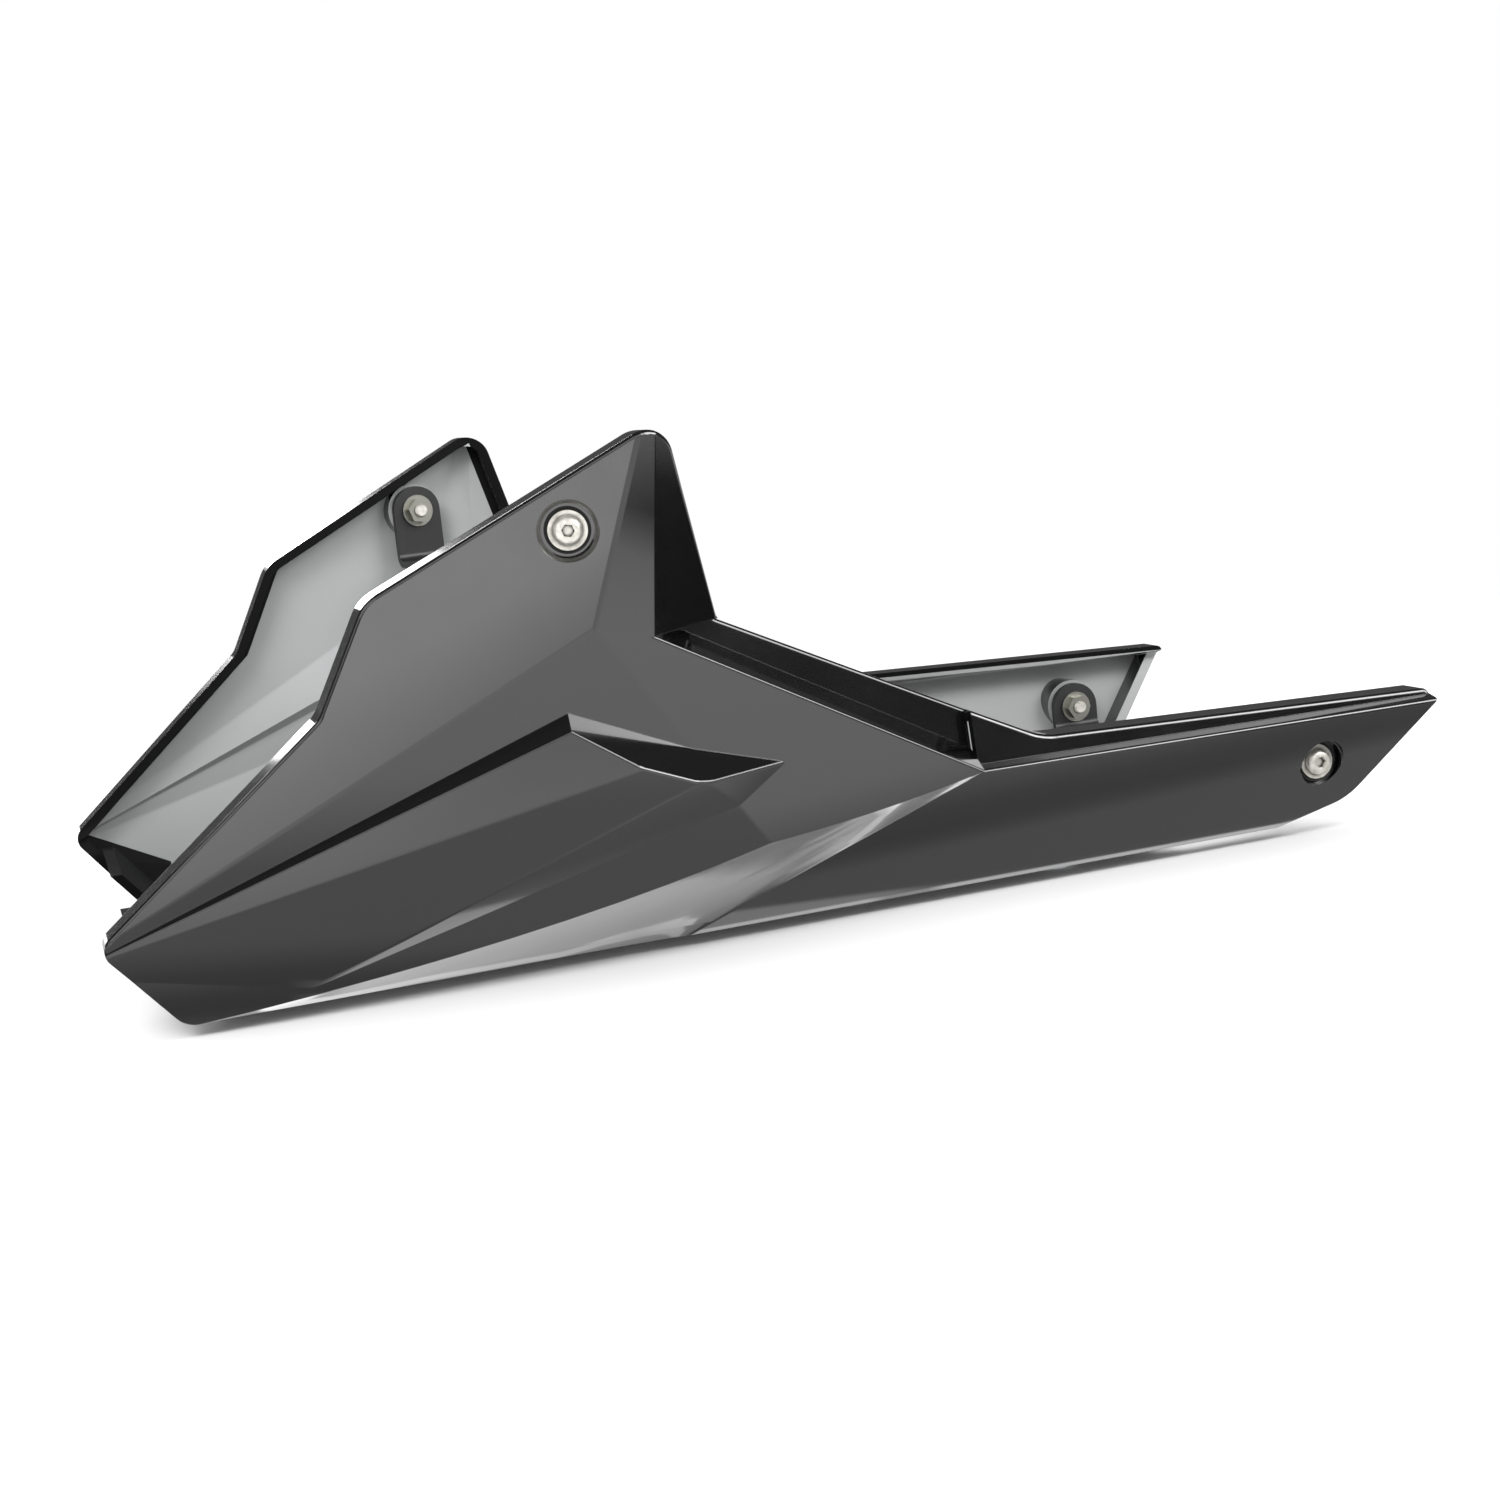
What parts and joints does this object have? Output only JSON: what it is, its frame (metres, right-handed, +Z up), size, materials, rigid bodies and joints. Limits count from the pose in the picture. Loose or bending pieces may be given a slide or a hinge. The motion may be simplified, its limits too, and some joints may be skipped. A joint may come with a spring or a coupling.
{
  "type": "motorcycle belly pan",
  "caption": "Faceted motorcycle belly pan: two side shells with swept fins and air scoops on a flat floor, hung on bolted brackets.",
  "frame": {"origin": "middle of the length and width, on the plane through the seam screw heads that the pan rests on", "axes": "+X to the rear of the motorcycle, +Y to its right side, +Z up"},
  "size_m": [0.5141, 0.3498, 0.189],
  "materials": {
    "shell": "gloss black painted ABS",
    "floor": "fine-textured black ABS, unpainted",
    "bracket": "satin black powder coat on steel",
    "screw": "bead-blasted stainless steel",
    "seam_screw": "zinc plated steel",
    "washer": "zinc plated steel",
    "nut": "zinc plated steel",
    "sleeve": "turned steel, zinc plated",
    "grommet": "moulded black rubber"
  },
  "bodies": {
    "root": {"left_panel": "shell", "right_panel": "shell", "floor_panel": "floor", "front_screw_left": "screw", "front_grommet_left": "grommet", "front_sleeve_left": "sleeve", "front_bracket_nut_left": "nut", "front_bracket_left": "bracket", "front_screw_right": "screw", "front_grommet_right": "grommet", "front_sleeve_right": "sleeve", "front_bracket_nut_right": "nut", "front_bracket_right": "bracket", "rear_screw_left": "screw", "rear_grommet_left": "grommet", "rear_sleeve_left": "sleeve", "rear_bracket_nut_left": "nut", "rear_bracket_left": "bracket", "rear_screw_right": "screw", "rear_grommet_right": "grommet", "rear_sleeve_right": "sleeve", "rear_bracket_nut_right": "nut", "rear_bracket_right": "bracket", "seam_screws_left": "seam_screw", "seam_washers_left": "washer", "seam_nuts_left": "nut", "seam_screws_right": "seam_screw", "seam_washers_right": "washer", "seam_nuts_right": "nut"}
  },
  "joints": []
}
